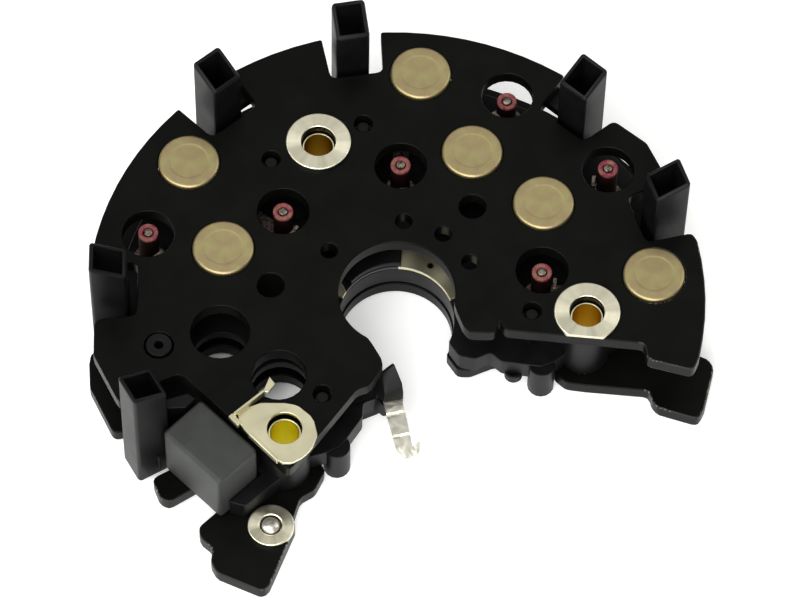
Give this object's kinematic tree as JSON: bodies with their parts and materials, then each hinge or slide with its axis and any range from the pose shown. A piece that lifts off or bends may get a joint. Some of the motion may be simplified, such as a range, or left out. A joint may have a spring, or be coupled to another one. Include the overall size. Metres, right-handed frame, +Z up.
{
  "type": "alternator rectifier",
  "caption": "Horseshoe alternator rectifier: a pair of stacked heat sinks with pressed-in diodes, a moulded terminal carrier with hollow wire towers, and a suppression capacitor.",
  "frame": {"origin": "middle of the footprint, on the surface the rectifier rests on", "axes": "+Z up out of the upper heat sink, along the shaft axis and the wire towers; +Y from the mouth of the horseshoe towards its closed back; +X to the right as seen from the mouth"},
  "size_m": [0.1268, 0.1078, 0.0359],
  "materials": {
    "black_coated_aluminium": "black coating, satin",
    "black_moulded_plastic": "moulded, satin",
    "nickel_plated_copper": "plated, satin",
    "tinned_steel": "tin plated",
    "pink_sleeving": "woven and varnished",
    "bare_aluminium": "turned",
    "yellow_passivated_steel": "yellow passivated",
    "dark_grey_epoxy": "cast, matt"
  },
  "bodies": {
    "root": {"capacitor_block": "dark_grey_epoxy", "capacitor_terminal": "tinned_steel", "contact_spring": "tinned_steel", "ear_rivet": "bare_aluminium", "ear_washer": "bare_aluminium", "fixing_tube_back": "yellow_passivated_steel", "fixing_tube_left": "yellow_passivated_steel", "fixing_tube_right": "yellow_passivated_steel", "flanged_washer_back": "bare_aluminium", "flanged_washer_right": "bare_aluminium", "lower_diode_cup_1": "nickel_plated_copper", "lower_diode_cup_2": "nickel_plated_copper", "lower_diode_cup_3": "nickel_plated_copper", "lower_diode_cup_4": "nickel_plated_copper", "lower_diode_cup_5": "nickel_plated_copper", "lower_diode_cup_6": "nickel_plated_copper", "lower_diode_lead_1": "tinned_steel", "lower_diode_lead_2": "tinned_steel", "lower_diode_lead_3": "tinned_steel", "lower_diode_lead_4": "tinned_steel", "lower_diode_lead_5": "tinned_steel", "lower_diode_lead_6": "tinned_steel", "lower_heat_sink": "black_coated_aluminium", "lower_lead_sleeve_1": "pink_sleeving", "lower_lead_sleeve_2": "pink_sleeving", "lower_lead_sleeve_3": "pink_sleeving", "lower_lead_sleeve_4": "pink_sleeving", "lower_lead_sleeve_5": "pink_sleeving", "lower_lead_sleeve_6": "pink_sleeving", "phase_strip_back": "tinned_steel", "phase_strip_front": "tinned_steel", "phase_strip_left": "tinned_steel", "phase_strip_right": "tinned_steel", "ring_strip": "tinned_steel", "terminal_carrier": "black_moulded_plastic", "upper_diode_cup_1": "nickel_plated_copper", "upper_diode_cup_2": "nickel_plated_copper", "upper_diode_cup_3": "nickel_plated_copper", "upper_diode_cup_4": "nickel_plated_copper", "upper_diode_cup_5": "nickel_plated_copper", "upper_diode_cup_6": "nickel_plated_copper", "upper_diode_lead_1": "tinned_steel", "upper_diode_lead_2": "tinned_steel", "upper_diode_lead_3": "tinned_steel", "upper_diode_lead_4": "tinned_steel", "upper_diode_lead_5": "tinned_steel", "upper_diode_lead_6": "tinned_steel", "upper_heat_sink": "black_coated_aluminium", "upper_lead_sleeve_1": "pink_sleeving", "upper_lead_sleeve_2": "pink_sleeving", "upper_lead_sleeve_3": "pink_sleeving", "upper_lead_sleeve_4": "pink_sleeving", "upper_lead_sleeve_5": "pink_sleeving", "upper_lead_sleeve_6": "pink_sleeving"}
  },
  "joints": []
}
